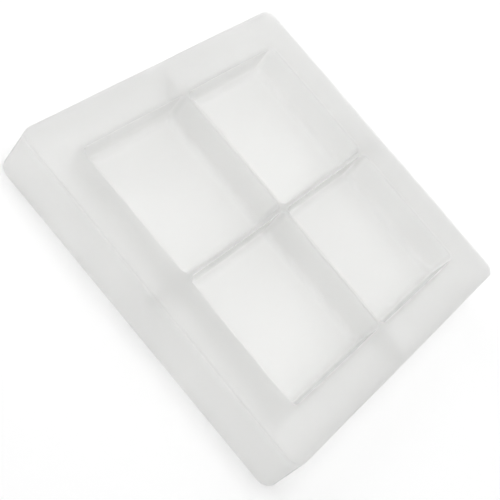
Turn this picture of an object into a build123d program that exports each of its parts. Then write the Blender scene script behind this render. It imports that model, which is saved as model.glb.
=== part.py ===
from build123d import *
import os
from math import radians, tan

# A soap mould of soft silicone. A flat rim stands on an outer skirt, and a block of two by two square wells
# hangs from the rim. It is one moulding: its members are cut apart at mitres and levels where they meet, and
# each is a solid of its own. Millimetres. +Z is up, -Y is the front, and the origin is under the middle of the
# mould, on the surface that its skirt stands on.

# Whole mould
top_side = 180.0  # plan of the rim's top, which is square
height = 26.0
skirt_draft = 1.5  # degrees, so the skirt spreads towards the table
corner_radius = 6.0  # the plan's corners at the rim's top
rim_edge_radius = 1.0

# Thicknesses
rim_thickness = 2.5
skirt_thickness = 2.2
wall_thickness = 2.0
divider_thickness = 2.0  # at its top
floor_thickness = 3.0

# Wells
well_mouth = 69.5
well_depth = 17.0
well_draft = 2.5  # degrees, so a well narrows towards its floor
well_corner_radius = 3.0
mouth_edge_radius = 0.7
foot_radius = 2.0
underside_radius = 2.0

# Ribs that join the well block to the skirt under the rim, in line with the dividers
rib_thickness = 4.5
rib_depth = 8.0

# Worked out from the above
base_side = top_side + 2 * height * tan(radians(skirt_draft))
base_radius = corner_radius + (base_side - top_side) / 2
rim_underside = height - rim_thickness
floor_top = height - well_depth
floor_underside = floor_top - floor_thickness
well_pitch = well_mouth + divider_thickness
mouth_span = 2 * well_mouth + divider_thickness
block_side = mouth_span + 2 * wall_thickness
beyond = base_side  # further out than anything in the plan

# Turns that bring the front to each side of the mould, seen from above
sides = {"front": 0, "right": 90, "back": 180, "left": 270}

# Outside of the whole mould, solid
with BuildPart() as outer_form:
    with BuildSketch(Plane.XY):
        RectangleRounded(base_side, base_side, base_radius)
    extrude(amount=height, taper=skirt_draft)
    fillet(outer_form.faces().sort_by(Axis.Z)[-1].edges(), rim_edge_radius)

# What the skirt and the rim enclose
with BuildPart() as hollow_form:
    with BuildSketch(Plane.XY):
        hollow_side = base_side - 2 * skirt_thickness
        RectangleRounded(hollow_side, hollow_side, base_radius - skirt_thickness)
    extrude(amount=rim_underside, taper=skirt_draft)

# Outside of the well block, solid
with BuildPart() as block_form:
    with BuildSketch(Plane.XY.offset(height)):
        RectangleRounded(block_side, block_side, well_corner_radius + wall_thickness)
    extrude(amount=floor_underside - height, taper=well_draft)
    fillet(block_form.faces().sort_by(Axis.Z)[0].edges(), underside_radius)

# The rim, whole
with BuildPart() as rim_ring:
    add(outer_form.part)
    with BuildSketch(Plane.XY):
        Rectangle(beyond, beyond)
    extrude(amount=rim_underside, mode=Mode.SUBTRACT)
    add(block_form.part, mode=Mode.SUBTRACT)

# The skirt, whole
with BuildPart() as skirt_ring:
    add(outer_form.part)
    with BuildSketch(Plane.XY.offset(rim_underside)):
        Rectangle(beyond, beyond)
    extrude(amount=rim_thickness, mode=Mode.SUBTRACT)
    add(hollow_form.part, mode=Mode.SUBTRACT)

# The well block with its four wells, which have soft feet and softened mouths
with BuildPart() as well_block:
    add(block_form.part)
    with BuildSketch(Plane.XY.offset(height)):
        with GridLocations(well_pitch, well_pitch, 2, 2):
            RectangleRounded(well_mouth, well_mouth, well_corner_radius)
    extrude(amount=-well_depth, taper=well_draft, mode=Mode.SUBTRACT)
    top_face = well_block.faces().sort_by(Axis.Z)[-1]
    floor_faces = well_block.faces().filter_by_position(Axis.Z, floor_top - 0.01, floor_top + 0.01)
    feet = floor_faces.edges()
    mouths = ShapeList(edge for wire in top_face.inner_wires() for edge in wire.edges())
    fillet(feet, foot_radius)
    fillet(mouths, mouth_edge_radius)


def turned(points, angle):
    """The plan points, turned about the mould's middle."""
    return [Vector(x, y).rotate(Axis.Z, angle) for x, y in points]


def write(name, piece):
    """Labels a finished piece and writes it as its own file."""
    piece.part.label = name
    export_step(piece.part, f"parts/{name}.step")


def cut_out(name, whole, outline, low, high):
    """Writes the part of a whole that is inside a plan outline and between two heights."""
    with BuildPart() as piece:
        add(whole.part)
        with BuildSketch(Plane.XY.offset(low)):
            with BuildLine():
                Polyline(*outline, close=True)
            make_face()
        extrude(amount=high - low, mode=Mode.INTERSECT)
    write(name, piece)


def rib(name, angle):
    """Writes the rib between the well block and one side of the skirt."""
    with BuildPart() as piece:
        with BuildSketch(Plane.XY.offset(rim_underside).rotated((0, 0, angle))):
            Rectangle(rib_thickness, base_side / 2, align=(Align.CENTER, Align.MAX))
        extrude(amount=-rib_depth)
        add(hollow_form.part, mode=Mode.INTERSECT)
        add(block_form.part, mode=Mode.SUBTRACT)
    write(name, piece)


os.makedirs("parts", exist_ok=True)

# Mitres run at 45 degrees through the corners of the mould and of the wells, whose diagonals meet at well_centre.
# A divider's arm ends in a point where it meets a wall.
well_centre = well_pitch / 2
divider_tip = (mouth_span + divider_thickness) / 2
quarter = [(0, 0), (beyond, -beyond), (-beyond, -beyond)]
wall_outline = [
    (-beyond, -beyond),
    (-well_centre, -well_centre),
    (0, -divider_tip),
    (well_centre, -well_centre),
    (beyond, -beyond),
]
divider_outline = [(0, 0), (well_centre, -well_centre), (0, -divider_tip), (-well_centre, -well_centre)]

for side, angle in sides.items():
    cut_out(f"rim_{side}", rim_ring, turned(quarter, angle), rim_underside, height)
    cut_out(f"skirt_{side}", skirt_ring, turned(quarter, angle), 0, rim_underside)
    cut_out(f"well_wall_{side}", well_block, turned(wall_outline, angle), floor_top, height)
    cut_out(f"divider_{side}", well_block, turned(divider_outline, angle), floor_top, height)
    rib(f"rib_{side}", angle)

square = [(0, 0), (-beyond, 0), (-beyond, -beyond), (0, -beyond)]
floors = {"front_left": 0, "front_right": 90, "back_right": 180, "back_left": 270}
for corner, angle in floors.items():
    cut_out(f"well_floor_{corner}", well_block, turned(square, angle), floor_underside, floor_top)
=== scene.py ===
from math import cos, pi, radians, sin, sqrt, tan

import bmesh
import bpy
from mathutils import Euler, Matrix, Vector, noise


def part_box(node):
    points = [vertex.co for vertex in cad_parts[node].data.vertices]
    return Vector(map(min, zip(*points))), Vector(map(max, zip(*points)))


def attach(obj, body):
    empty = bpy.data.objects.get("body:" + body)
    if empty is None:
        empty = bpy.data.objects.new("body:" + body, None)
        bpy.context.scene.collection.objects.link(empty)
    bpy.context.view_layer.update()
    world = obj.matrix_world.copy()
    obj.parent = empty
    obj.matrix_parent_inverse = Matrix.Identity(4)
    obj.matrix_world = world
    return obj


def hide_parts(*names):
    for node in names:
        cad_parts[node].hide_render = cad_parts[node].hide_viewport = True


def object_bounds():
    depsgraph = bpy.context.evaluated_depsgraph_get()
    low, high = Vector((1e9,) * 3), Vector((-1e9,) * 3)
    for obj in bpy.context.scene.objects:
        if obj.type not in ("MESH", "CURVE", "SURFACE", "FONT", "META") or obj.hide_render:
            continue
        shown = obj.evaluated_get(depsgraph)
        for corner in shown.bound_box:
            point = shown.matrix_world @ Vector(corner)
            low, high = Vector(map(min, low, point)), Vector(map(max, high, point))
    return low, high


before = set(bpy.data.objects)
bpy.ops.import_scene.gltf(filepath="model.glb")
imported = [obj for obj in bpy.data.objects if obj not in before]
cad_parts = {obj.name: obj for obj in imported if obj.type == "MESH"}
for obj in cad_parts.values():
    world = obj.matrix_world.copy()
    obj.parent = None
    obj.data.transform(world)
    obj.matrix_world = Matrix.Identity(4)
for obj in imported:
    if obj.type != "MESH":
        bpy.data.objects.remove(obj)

# The silicone soap mould, in metres, in the row frame: +Z up, -Y the front, the table at zero height.
# The real mould is one continuous soft moulding, so it is one closed mesh here. The rim's top and the floors
# are grids. The rest is rings: down each well, down the outside of the skirt, up its inside, across under the
# rim and down the outside of the wells. Each rib hangs from the rings under the rim.

MM = 0.001
cad_low, cad_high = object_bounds()

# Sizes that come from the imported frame
HEIGHT = cad_high.z
BASE_HALF = cad_high.x
RIM_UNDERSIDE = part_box("rim_front")[0].z
BLOCK_HALF = -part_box("well_wall_front")[0].y
FLOOR_UNDERSIDE, FLOOR_TOP = (corner.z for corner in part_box("well_floor_front_left"))
RIB_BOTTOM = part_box("rib_front")[0].z
RIB_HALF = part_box("rib_front")[1].x

# Sizes that the frame's boxes don't give
SKIRT_DRAFT = radians(1.5)
WELL_DRAFT = radians(2.5)
SKIRT_THICKNESS = 2.2 * MM
WALL_THICKNESS = 2.0 * MM
DIVIDER_HALF = 1.0 * MM
OUTER_RADIUS = 6.0 * MM
WELL_RADIUS = 3.3 * MM
RIM_ROLL = 2.6 * MM
RIM_DROP = 0.9 * MM
PARTING_WIDTH = 1.3 * MM
PARTING_DEPTH = 0.9 * MM
MOUTH_EDGE = 0.5 * MM
FOOT_RADIUS = 3.6 * MM
FOOT_CORNER = 1.4 * MM
HEM_EDGE = 0.5 * MM
UNDER_RIM_FILLET = 1.5 * MM
UNDERSIDE_EDGE = 2.0 * MM

# The soft moulding is never quite flat. It strays up to about this far, in waves of about this length.
STRAY = 0.3 * MM
STRAY_REACH = 45 * MM
STRAY_SEED = 7

TOP_HALF = BASE_HALF - HEIGHT * tan(SKIRT_DRAFT)
OUTER_STRAIGHT = TOP_HALF - OUTER_RADIUS
MOUTH_HALF = (BLOCK_HALF - WALL_THICKNESS - DIVIDER_HALF) / 2
WELL_CENTRE = MOUTH_HALF + DIVIDER_HALF
WELL_STRAIGHT = MOUTH_HALF - WELL_RADIUS
BLOCK_STRAIGHT = BLOCK_HALF - WALL_THICKNESS - WELL_RADIUS

# How finely the cage is divided along a side. A corner has twice CORNER_STEPS segments.
CORNER_STEPS = 4
SPAN_STEPS = 10
CORNER = [step / CORNER_STEPS for step in range(1, CORNER_STEPS + 1)]

# The heights at which the cage has rings on its straight walls, and the strips across the rim's underside
WELL_LEVELS = [HEIGHT - depth * MM for depth in (2, 6, 11)]
SKIRT_LEVELS = [height * MM for height in (23.2, 21, 16, 10, 5, 2)]
INNER_SKIRT_LEVELS = [height * MM for height in (3, 7, 11)]
RIB_LEVELS = [RIB_BOTTOM + rise * MM for rise in (0, 0.6, 3.5)]
BLOCK_LEVEL = 12 * MM
RIM_STRIPS = 3

# Where the parting groove's flat bottom starts and ends, as shares of its width
GROOVE_BOTTOM = (0.35, 0.55)

# Segments of each rounding in a profile
EDGE_STEPS = 3
ROLL_STEPS = 4
FOOT_STEPS = 5
HEM_STEPS = 2
FILLET_STEPS = 2


# ---------------------------------------------------------------- stations along a side
# A station is (along, turn): how far along a side it is from the middle, and how far into the corner, from
# -1 to 1.

def mirrored(stations):
    """Stations of one half of a side, from its middle, and the same on the other half."""
    return [(-along, -turn) for along, turn in reversed(stations[1:])] + stations


def well_stations(straight):
    """Stations along one side of a well."""
    steps = [straight * 2 * step / SPAN_STEPS for step in range(SPAN_STEPS // 2 + 1)]
    return mirrored([(along, 0) for along in steps] + [(straight, turn) for turn in CORNER])


def rim_lines():
    """Distances from the middle to the lines across the rim. They meet the stations of a well's mouth."""
    radius = WELL_RADIUS + MOUTH_EDGE
    mouth = [WELL_CENTRE + along + turn * radius for along, turn in well_stations(WELL_STRAIGHT)]
    outside = mouth[-1]
    beside = outside + 1.5 * MM
    return [0] + mouth + [beside, (outside + OUTER_STRAIGHT) / 2, OUTER_STRAIGHT]


def under_lines(straight):
    """The same lines for the underside, fitted to a straight length, with the third on a rib's face."""
    lines = [line * straight / OUTER_STRAIGHT for line in rim_lines()]
    return [0, RIB_HALF / 2, RIB_HALF] + lines[3:]


def side_stations(lines):
    """Stations along one whole side of the mould."""
    return mirrored([(line, 0) for line in lines] + [(lines[-1], turn) for turn in CORNER])


# ---------------------------------------------------------------- plans, rings and profiles

def plan_point(across, along, radius, height, centre=(0, 0)):
    """The point of a rounded square at a station across and a station along. Its corners map onto discs."""
    (x, turn_x), (y, turn_y) = across, along
    x += turn_x * radius * sqrt(1 - turn_y ** 2 / 2)
    y += turn_y * radius * sqrt(1 - turn_x ** 2 / 2)
    return Vector((centre[0] + x, centre[1] + y, height))


def plan(stations, radius, height, centre=(0, 0)):
    """The grid of points of a rounded square, row by row from the front."""
    return [[plan_point(x, y, radius, height, centre) for x in stations] for y in stations]


def border(grid):
    """The closed loop round a grid, anticlockwise from its front left corner."""
    front, back = grid[0], grid[-1]
    right, left = [row[-1] for row in grid], [row[0] for row in grid]
    return front + right[1:] + back[-2::-1] + left[-2::-1]


def arc(start, end, centre, steps):
    """Points of a quarter turn in a profile, given as (half, height), from start to end."""
    angles = [pi / 2 * step / steps for step in range(steps + 1)]
    return [
        tuple(c + (s - c) * cos(angle) + (e - c) * sin(angle) for s, e, c in zip(start, end, centre))
        for angle in angles
    ]


def outer_half(height):
    """Half the outside width of the skirt at a height."""
    return TOP_HALF + (HEIGHT - height) * tan(SKIRT_DRAFT)


def inner_half(height):
    """Half the width inside the skirt at a height."""
    return outer_half(height) - SKIRT_THICKNESS


def block_half(height):
    """Half the outside width of the well block at a height."""
    return BLOCK_HALF - (HEIGHT - height) * tan(WELL_DRAFT)


def mouth_half(height):
    """Half the width inside a well at a height."""
    return MOUTH_HALF - (HEIGHT - height) * tan(WELL_DRAFT)


# ---------------------------------------------------------------- the parts of the cage

def add_patch(mesh, rows, keep=lambda row, column: True):
    """Adds the quads between rows of points."""
    for r, (low, high) in enumerate(zip(rows, rows[1:])):
        for c, corners in enumerate(zip(low, low[1:], high[1:], high)):
            if keep(r, c):
                mesh.faces.new([mesh.verts.new(point) for point in corners])


def well_profile():
    """From a well's mouth down to the start of its floor: a soft edge, the drafted wall and a round foot."""
    lip = HEIGHT - MOUTH_EDGE
    rim = MOUTH_HALF + MOUTH_EDGE
    foot = FLOOR_TOP + FOOT_RADIUS
    wall = mouth_half(FLOOR_TOP)
    floor_edge = wall - FOOT_RADIUS
    profile = arc((rim, HEIGHT), (mouth_half(lip), lip), (rim, lip), EDGE_STEPS)
    profile += [(mouth_half(z), z) for z in WELL_LEVELS]
    return profile + arc((wall, foot), (floor_edge, FLOOR_TOP), (floor_edge, foot), FOOT_STEPS)


def add_well(mesh, centre):
    """One well, from its mouth to its floor. Its corners are tighter at the foot than at the mouth."""
    rings = []
    for half, height in well_profile():
        flare = min(MOUTH_EDGE, max(0, half - MOUTH_HALF))
        down_foot = max(0, mouth_half(FLOOR_TOP) - half) / FOOT_RADIUS
        radius = WELL_RADIUS + flare - down_foot * (WELL_RADIUS - FOOT_CORNER)
        rings.append(plan(well_stations(half - radius), radius, height, centre))
    add_patch(mesh, [border(grid) for grid in rings])
    add_patch(mesh, rings[-1])


def add_rim_top(mesh):
    """The rim's top and the dividers' tops: a grid with a hole for each well."""
    stations = side_stations(rim_lines())
    grid = plan(stations, OUTER_RADIUS - RIM_ROLL, HEIGHT)
    middle = len(stations) // 2
    count = len(well_stations(WELL_STRAIGHT))
    firsts = {-1: middle - count, 1: middle + 1}
    radius = WELL_RADIUS + MOUTH_EDGE
    for side_x, first_x in firsts.items():
        for side_y, first_y in firsts.items():
            centre = (side_x * WELL_CENTRE, side_y * WELL_CENTRE)
            mouth = plan(well_stations(WELL_STRAIGHT), radius, HEIGHT, centre)
            for r, row in enumerate(mouth):
                grid[first_y + r][first_x:first_x + count] = row

    def in_well(index):
        return any(first <= index < first + count - 1 for first in firsts.values())

    add_patch(mesh, grid, keep=lambda row, column: not (in_well(row) and in_well(column)))


def outside_rings():
    """Rings from the rim's rolled edge, over the parting groove and down the outside of the skirt."""
    top = outer_half(HEIGHT) - RIM_ROLL
    brim = HEIGHT - RIM_DROP
    groove_end = brim - PARTING_WIDTH
    base = outer_half(0)
    profile = arc((top, HEIGHT), (outer_half(brim), brim), (top, brim), ROLL_STEPS)
    profile += [(outer_half(brim) - PARTING_DEPTH, brim - share * PARTING_WIDTH) for share in GROOVE_BOTTOM]
    profile += [(outer_half(z), z) for z in [groove_end] + SKIRT_LEVELS]
    profile += arc((base, HEM_EDGE), (base - HEM_EDGE, 0), (base - HEM_EDGE, HEM_EDGE), HEM_STEPS)
    stations = side_stations(rim_lines())
    return [border(plan(stations, half - OUTER_STRAIGHT, height)) for half, height in profile]


def inside_rings():
    """Rings from the hem up the inside of the skirt to the fillet under the rim."""
    base = inner_half(0)
    hem = base + HEM_EDGE
    fillet = RIM_UNDERSIDE - UNDER_RIM_FILLET
    corner = inner_half(fillet) - UNDER_RIM_FILLET
    profile = arc((hem, 0), (base, HEM_EDGE), (hem, HEM_EDGE), HEM_STEPS)
    profile += [(inner_half(z), z) for z in INNER_SKIRT_LEVELS + RIB_LEVELS]
    profile += arc((inner_half(fillet), fillet), (corner, RIM_UNDERSIDE), (corner, fillet), FILLET_STEPS)
    stations = side_stations(under_lines(OUTER_STRAIGHT))
    return [border(plan(stations, half - OUTER_STRAIGHT, height)) for half, height in profile]


def block_grids():
    """Grids from the fillet under the rim down the outside of the well block, to its underside."""
    fillet = RIM_UNDERSIDE - UNDER_RIM_FILLET
    corner = block_half(fillet) + UNDER_RIM_FILLET
    bend = FLOOR_UNDERSIDE + UNDERSIDE_EDGE
    base = block_half(FLOOR_UNDERSIDE)
    flat = base - UNDERSIDE_EDGE
    profile = arc((corner, RIM_UNDERSIDE), (block_half(fillet), fillet), (corner, fillet), FILLET_STEPS)
    profile += [(block_half(z), z) for z in RIB_LEVELS[::-1] + [BLOCK_LEVEL]]
    profile += arc((base, bend), (flat, FLOOR_UNDERSIDE), (flat, bend), EDGE_STEPS)
    stations = side_stations(under_lines(BLOCK_STRAIGHT))
    return [plan(stations, half - BLOCK_STRAIGHT, height) for half, height in profile]


def add_underside(mesh):
    """The skirt, the hollow under the rim with its ribs, and the underside of the well block."""
    outside = outside_rings()
    inside = inside_rings()
    grids = block_grids()
    block = [border(grid) for grid in grids]
    strips = [
        [a.lerp(b, step / RIM_STRIPS) for a, b in zip(inside[-1], block[0])] for step in range(1, RIM_STRIPS)
    ]
    rings = outside + inside + strips + block
    rib_rings = FILLET_STEPS + len(RIB_LEVELS)
    first = len(outside) + len(inside) - 1 - rib_rings
    last = len(rings) - len(block) + rib_rings
    side = (len(rings[0]) - 1) // 4
    middles = [side // 2 + side * turn for turn in range(4)]

    def outside_rib(row, column):
        return not (first <= row < last and any(-2 <= column - middle < 2 for middle in middles))

    add_patch(mesh, rings, keep=outside_rib)
    add_patch(mesh, grids[-1])
    for middle in middles:
        add_rib(mesh, rings[first:last + 1], middle)


def add_rib(mesh, rings, middle):
    """A rib between the skirt and the well block: two faces under the rim, and its lower edge."""
    rise = len(RIB_LEVELS) + 1
    run = len(rings) - 1 - 2 * rise

    def upper_edge(column):
        return [ring[column] for ring in rings[rise:rise + run + 1]]

    def lower_edge(column):
        top = upper_edge(column)
        start, end = rings[0][column], rings[-1][column]
        shares = [(point - top[0]).length / (top[-1] - top[0]).length for point in top]
        return [start.lerp(end, share) for share in shares]

    def face(column):
        """Points blended from the face's four edges."""
        left = [ring[column] for ring in rings[:rise + 1]]
        right = [ring[column] for ring in reversed(rings[-rise - 1:])]
        top = upper_edge(column)
        bottom = lower_edge(column)
        rows = []
        for r in range(rise + 1):
            up = r / rise
            row = []
            for c in range(run + 1):
                over = c / run
                edges = left[r].lerp(right[r], over) + bottom[c].lerp(top[c], up)
                corners = bottom[0].lerp(bottom[-1], over).lerp(top[0].lerp(top[-1], over), up)
                row.append(edges - corners)
            rows.append(row)
        return rows

    add_patch(mesh, face(middle - 2))
    add_patch(mesh, face(middle + 2))
    add_patch(mesh, [lower_edge(middle + step) for step in range(-2, 3)])


def make_moulding():
    """The whole moulding as one closed, subdivided mesh."""
    mesh = bmesh.new()
    add_rim_top(mesh)
    for side_x in (-1, 1):
        for side_y in (-1, 1):
            add_well(mesh, (side_x * WELL_CENTRE, side_y * WELL_CENTRE))
    add_underside(mesh)
    bmesh.ops.remove_doubles(mesh, verts=mesh.verts, dist=0.001 * MM)
    bmesh.ops.recalc_face_normals(mesh, faces=mesh.faces)
    noise.seed_set(STRAY_SEED)
    for point in mesh.verts:
        point.co += noise.noise_vector(point.co / STRAY_REACH) * STRAY * point.co.z / HEIGHT
    for face in mesh.faces:
        face.smooth = True
    data = bpy.data.meshes.new("moulding")
    mesh.to_mesh(data)
    mesh.free()
    moulding = bpy.data.objects.new("moulding", data)
    bpy.context.scene.collection.objects.link(moulding)
    smoother = moulding.modifiers.new("smooth", "SUBSURF")
    smoother.levels = smoother.render_levels = 1
    return moulding


# ---------------------------------------------------------------- material

def silicone():
    """Milky translucent silicone: light passes through its frosted surface, and scatters inside it."""
    material = bpy.data.materials.new("milky silicone")
    material.use_nodes = True
    tree = material.node_tree
    nodes, links = tree.nodes, tree.links
    shader, output = nodes["Principled BSDF"], nodes["Material Output"]
    shader.inputs["Base Color"].default_value = (0.99, 0.99, 0.985, 1)
    shader.inputs["IOR"].default_value = 1.22
    shader.inputs["Transmission Weight"].default_value = 1.0

    place = nodes.new("ShaderNodeTexCoord")

    def noise_of(scale, detail):
        pattern = nodes.new("ShaderNodeTexNoise")
        pattern.inputs["Scale"].default_value = scale
        pattern.inputs["Detail"].default_value = detail
        links.new(place.outputs["Object"], pattern.inputs["Vector"])
        return pattern.outputs["Fac"]

    def bump(pattern, strength, distance):
        node = nodes.new("ShaderNodeBump")
        node.inputs["Strength"].default_value = strength
        node.inputs["Distance"].default_value = distance
        links.new(pattern, node.inputs["Height"])
        return node

    rubbed = nodes.new("ShaderNodeMapRange")
    rubbed.inputs["From Min"].default_value = 0.3
    rubbed.inputs["From Max"].default_value = 0.7
    rubbed.inputs["To Min"].default_value = 0.56
    rubbed.inputs["To Max"].default_value = 0.64
    links.new(noise_of(scale=60, detail=4), rubbed.inputs["Value"])
    links.new(rubbed.outputs["Result"], shader.inputs["Roughness"])

    swell = bump(noise_of(scale=150, detail=2), strength=0.12, distance=0.3 * MM)
    frost = bump(noise_of(scale=2500, detail=2), strength=0.15, distance=0.05 * MM)
    links.new(swell.outputs["Normal"], frost.inputs["Normal"])
    links.new(frost.outputs["Normal"], shader.inputs["Normal"])

    milk = nodes.new("ShaderNodeVolumePrincipled")
    milk.inputs["Color"].default_value = (0.991, 0.991, 0.990, 1)
    milk.inputs["Density"].default_value = 280
    milk.inputs["Anisotropy"].default_value = 0.3
    links.new(milk.outputs["Volume"], output.inputs["Volume"])
    return material


# ---------------------------------------------------------------- stage

def make_floor():
    """A plain white floor, faintly lit from within so that it stays white under soft light."""
    reach = 3.0
    corners = [(-reach, -reach, 0), (reach, -reach, 0), (reach, reach, 0), (-reach, reach, 0)]
    data = bpy.data.meshes.new("floor")
    data.from_pydata(corners, [], [(0, 1, 2, 3)])
    floor = bpy.data.objects.new("floor", data)
    bpy.context.scene.collection.objects.link(floor)
    material = bpy.data.materials.new("floor")
    material.use_nodes = True
    shader = material.node_tree.nodes["Principled BSDF"]
    shader.inputs["Base Color"].default_value = (0.95, 0.95, 0.95, 1)
    shader.inputs["Roughness"].default_value = 0.9
    shader.inputs["Emission Color"].default_value = (1, 1, 1, 1)
    shader.inputs["Emission Strength"].default_value = 0.18
    data.materials.append(material)


def make_light(name, place, size, power):
    """A round softbox aimed at the mould, with its place and size in metres and its power in watts."""
    data = bpy.data.lights.new(name, "AREA")
    data.shape = "DISK"
    data.size = size
    data.energy = power
    light = bpy.data.objects.new(name, data)
    bpy.context.scene.collection.objects.link(light)
    light.location = place
    light.rotation_euler = (Vector() - Vector(place)).to_track_quat("-Z", "Y").to_euler()


def make_world():
    """Even white light from all round."""
    world = bpy.data.worlds.new("world")
    bpy.context.scene.world = world
    world.use_nodes = True
    background = world.node_tree.nodes["Background"]
    background.inputs["Color"].default_value = (1, 1, 1, 1)
    background.inputs["Strength"].default_value = 0.34


def make_camera():
    """Above the front edge, a little to the right, and rolled so that the mould lies across the picture."""
    data = bpy.data.cameras.new("camera")
    data.sensor_width = 36
    data.lens = 78.8
    camera = bpy.data.objects.new("camera", data)
    bpy.context.scene.collection.objects.link(camera)
    aim = Vector((0.0061, -0.0276, 0.02))
    distance = 0.4923
    azimuth, elevation, roll = radians(5.71), radians(46.70), radians(45.89)
    turn = Euler((pi / 2 - elevation, 0, azimuth)).to_matrix() @ Matrix.Rotation(roll, 3, "Z")
    camera.matrix_world = Matrix.Translation(aim + turn @ Vector((0, 0, distance))) @ turn.to_4x4()
    bpy.context.scene.camera = camera


def let_light_through():
    """Enough bounces for light to cross the milky silicone."""
    cycles = bpy.context.scene.cycles
    cycles.max_bounces = 32
    cycles.transmission_bounces = 32
    cycles.volume_bounces = 16


moulding = make_moulding()
moulding.data.materials.append(silicone())
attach(moulding, "root")
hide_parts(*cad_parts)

make_floor()
make_light("left softbox", place=(-0.76, 0, 0.48), size=1.0, power=2.5)
make_light("top softbox", place=(0.03, 0, 0.9), size=0.8, power=3.1)
make_light("back softbox", place=(0, 0.74, 0.52), size=1.2, power=1.7)
make_light("right softbox", place=(0.74, 0, 0.52), size=1.2, power=0.6)
make_world()
make_camera()
let_light_through()
bpy.context.scene.view_settings.view_transform = "Standard"
